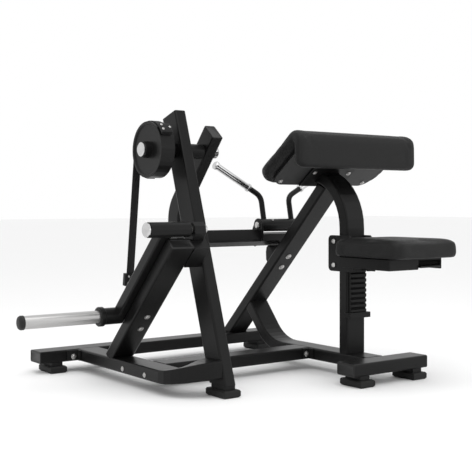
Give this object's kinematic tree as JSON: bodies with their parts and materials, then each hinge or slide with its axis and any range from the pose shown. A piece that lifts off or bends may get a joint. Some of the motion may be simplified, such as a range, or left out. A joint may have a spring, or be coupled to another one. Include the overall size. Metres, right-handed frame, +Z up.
{
  "type": "seated arm curl machine",
  "caption": "Plate-loaded seated arm-curl machine: sloping arm pad, sliding seat, swivelling handles on a bent arm, belt wheel and weight-horn lever.",
  "frame": {"origin": "centre of the bounding box's footprint, on the floor", "axes": "+Z up, +Y the way the seated user faces, +X towards the user's right"},
  "size_m": [1.6513, 1.295, 1.0759],
  "materials": {
    "frame_black": "semi-gloss black powder coat",
    "arm_black": "semi-gloss black powder coat",
    "satin_steel": "satin turned steel",
    "chrome": "polished chrome",
    "zinc": "bright zinc plate",
    "vinyl": "matte black upholstery vinyl",
    "rubber": "matte black",
    "plastic": "matte black",
    "bronze": "plain turned"
  },
  "bodies": {
    "frame": {"front_cross_tube": "frame_black", "rear_cross_tube": "frame_black", "floor_cross_link": "frame_black", "centre_rail": "frame_black", "pad_post": "frame_black", "seat_post": "frame_black", "side_rail": "frame_black", "tower_post": "frame_black", "support_leg": "frame_black", "support_link": "frame_black", "load_pivot_shaft": "satin_steel", "foot_front_left": "rubber", "foot_front_right": "rubber", "foot_rear_left": "rubber", "foot_rear_right": "rubber", "foot_tower": "rubber", "rest_bumper": "rubber", "height_rack": "frame_black", "arm_pad": "vinyl", "arm_pad_board": "plastic", "pad_mount_plate": "frame_black", "elbow_hub": "frame_black", "elbow_bearing_left": "satin_steel", "elbow_bearing_right": "satin_steel"},
    "curl": {"elbow_axle": "satin_steel", "curl_arm": "arm_black", "elbow_cap": "chrome", "wheel_cap": "chrome", "cross_beam": "arm_black", "handle_fork": "arm_black", "handle_axle": "zinc", "belt_wheel": "arm_black", "belt_wrap": "rubber", "belt_wheel_clamp": "arm_black"},
    "handles": {"handle_yoke": "arm_black", "handle_grip_left": "chrome", "handle_grip_right": "chrome"},
    "load": {"load_arm_hub": "arm_black", "load_arm_bush": "bronze", "load_hub_cap": "chrome", "load_arm": "arm_black", "horn_collar": "arm_black", "weight_horn": "satin_steel", "horn_cap": "plastic", "belt_lug": "arm_black", "belt_pin": "zinc"},
    "belt": {"belt_span": "rubber", "belt_link": "arm_black", "belt_clamp": "arm_black"},
    "seat": {"seat_pad": "vinyl", "seat_tray": "frame_black", "seat_carriage": "frame_black", "guide_block": "plastic", "seat_roller_lower": "plastic", "seat_roller_upper": "plastic", "roller_axle_lower": "zinc", "roller_axle_upper": "zinc", "lever_pin": "satin_steel"},
    "lever": {"release_lever": "frame_black"}
  },
  "joints": [
    {"name": "curl_pivot", "type": "hinge", "parent": "frame", "child": "curl", "pos_m": [-0.06065, 0.0575, 0.918], "axis": [1, 0, 0], "range_deg": [0, 110]},
    {"name": "handle_swivel", "type": "hinge", "parent": "curl", "child": "handles", "pos_m": [0.47435, 0.2735, 0.613], "axis": [1, 0, 0], "range_deg": [-25, 25]},
    {"name": "load_pivot", "type": "hinge", "parent": "frame", "child": "load", "pos_m": [-0.38565, -0.1725, 0.614], "axis": [1, 0, 0], "range_deg": [0, 30.31]},
    {"name": "belt_swing", "type": "hinge", "parent": "load", "child": "belt", "pos_m": [-0.31465, 0.2495, 0.3], "axis": [1, 0, 0], "range_deg": [-12.7, 0], "deforming": ["belt_span"]},
    {"name": "seat_height", "type": "slide", "parent": "frame", "child": "seat", "axis": [0, 0, 1], "range_m": [-0.16, 0]},
    {"name": "seat_release", "type": "hinge", "parent": "seat", "child": "lever", "pos_m": [0.47435, -0.3525, 0.474], "axis": [1, 0, 0], "range_deg": [-4, 0], "stiffness_Nm_per_rad": 3, "springref_deg": 2.86}
  ],
  "couplings": [
    {"joint": "load_pivot", "follows": "curl_pivot", "ratio": 0.27511},
    {"joint": "belt_swing", "follows": "curl_pivot", "ratio": -0.115}
  ]
}
